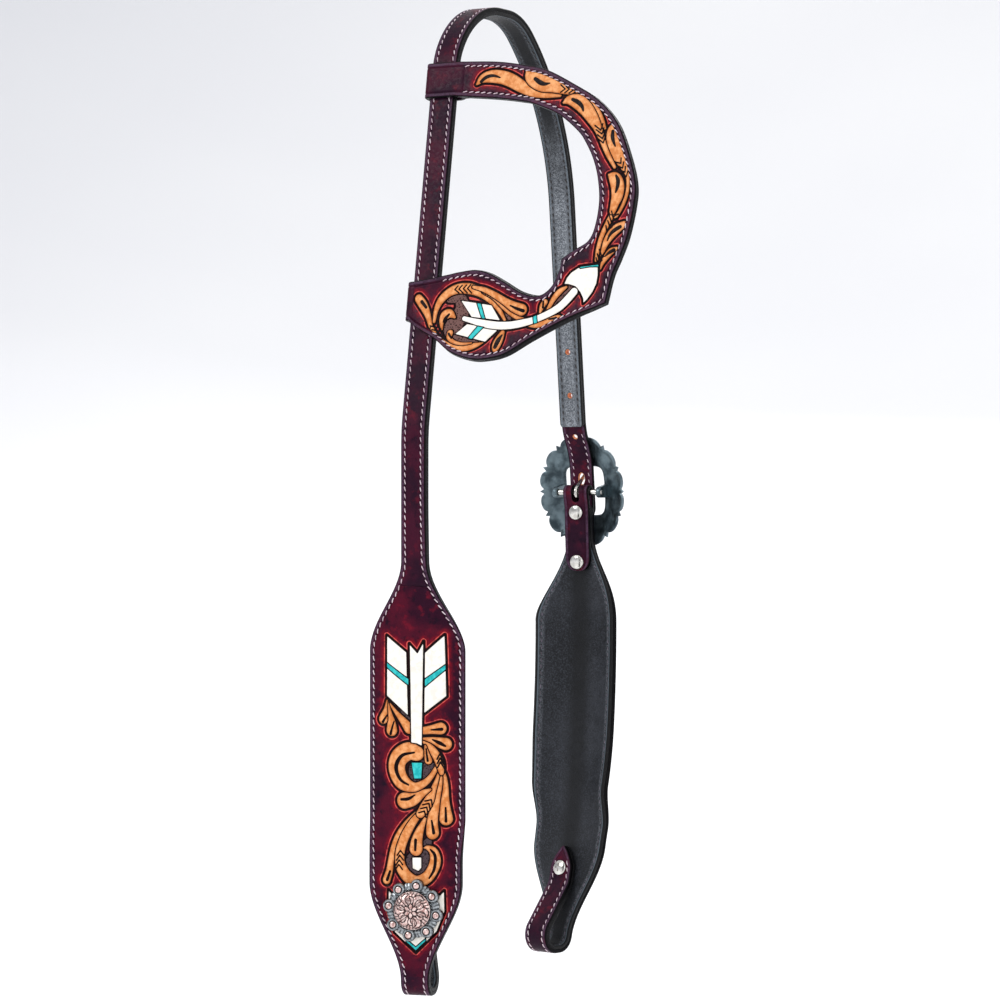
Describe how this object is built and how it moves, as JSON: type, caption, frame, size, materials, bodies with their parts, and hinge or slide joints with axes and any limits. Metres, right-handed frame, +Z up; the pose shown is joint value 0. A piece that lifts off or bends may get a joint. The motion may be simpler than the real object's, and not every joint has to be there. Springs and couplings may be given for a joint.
{
  "type": "western headstall",
  "caption": "One-ear western headstall: lined leather crown strap with a tooled cheek, sliding ear piece, plate buckle, riveted far cheek and bit loops closed by conchos and screws.",
  "frame": {"origin": "middle of the inner face of the crown strap's lining at its top, where it rests behind the horse's ears", "axes": "+Z up, -Y toward the side with the ear piece (near side in the picture), +Y toward the side with the buckle, +X toward the front of the head, where the ear opening points"},
  "size_m": [0.1613, 0.2153, 0.5664],
  "materials": {
    "burgundy_leather": "dyed, tooled and waxed, semi-gloss",
    "black_lining_leather": "fine pebble grain, matt",
    "antiqued_pewter": "cast, antiqued dark in the hollows",
    "gunmetal_plate": "cast back, dull",
    "polished_nickel": "nickel plated, polished"
  },
  "bodies": {
    "crown": {"crown_strap": "burgundy_leather", "crown_lining": "black_lining_leather", "near_concho": "antiqued_pewter", "near_concho_post": "polished_nickel", "buckle_plate": "gunmetal_plate", "buckle_bar": "polished_nickel"},
    "ear": {"ear_piece": "burgundy_leather", "ear_lining": "black_lining_leather"},
    "far_cheek": {"far_cheek": "burgundy_leather", "far_cheek_lining": "black_lining_leather", "upper_rivet_cap": "polished_nickel", "upper_rivet_post": "polished_nickel", "lower_rivet_cap": "polished_nickel", "lower_rivet_post": "polished_nickel", "far_concho": "antiqued_pewter", "far_concho_post": "polished_nickel"},
    "tongue": {"buckle_tongue": "polished_nickel"},
    "near_screw": {"near_concho_screw": "polished_nickel"},
    "far_screw": {"far_concho_screw": "polished_nickel"}
  },
  "joints": [
    {"name": "ear_slide", "type": "slide", "parent": "crown", "child": "ear", "axis": [0, -0.1644, -0.9864], "range_m": [0, 0.045]},
    {"name": "cheek_swing", "type": "hinge", "parent": "crown", "child": "far_cheek", "pos_m": [0, 0.10287, -0.27724], "axis": [-1, 0, 0], "range_deg": [0, 22]},
    {"name": "tongue_rock", "type": "hinge", "parent": "crown", "child": "tongue", "pos_m": [0, 0.10287, -0.27724], "axis": [-1, 0, 0], "range_deg": [0, 8]},
    {"name": "near_screw_turn", "type": "hinge", "parent": "crown", "child": "near_screw", "pos_m": [0.00106, -0.09144, -0.51249], "axis": [0.225, -0.9744, 0], "continuous": true},
    {"name": "far_screw_turn", "type": "hinge", "parent": "far_cheek", "child": "far_screw", "pos_m": [0.00049, 0.09244, -0.50668], "axis": [0.2037, 0.9585, -0.1994], "continuous": true}
  ]
}
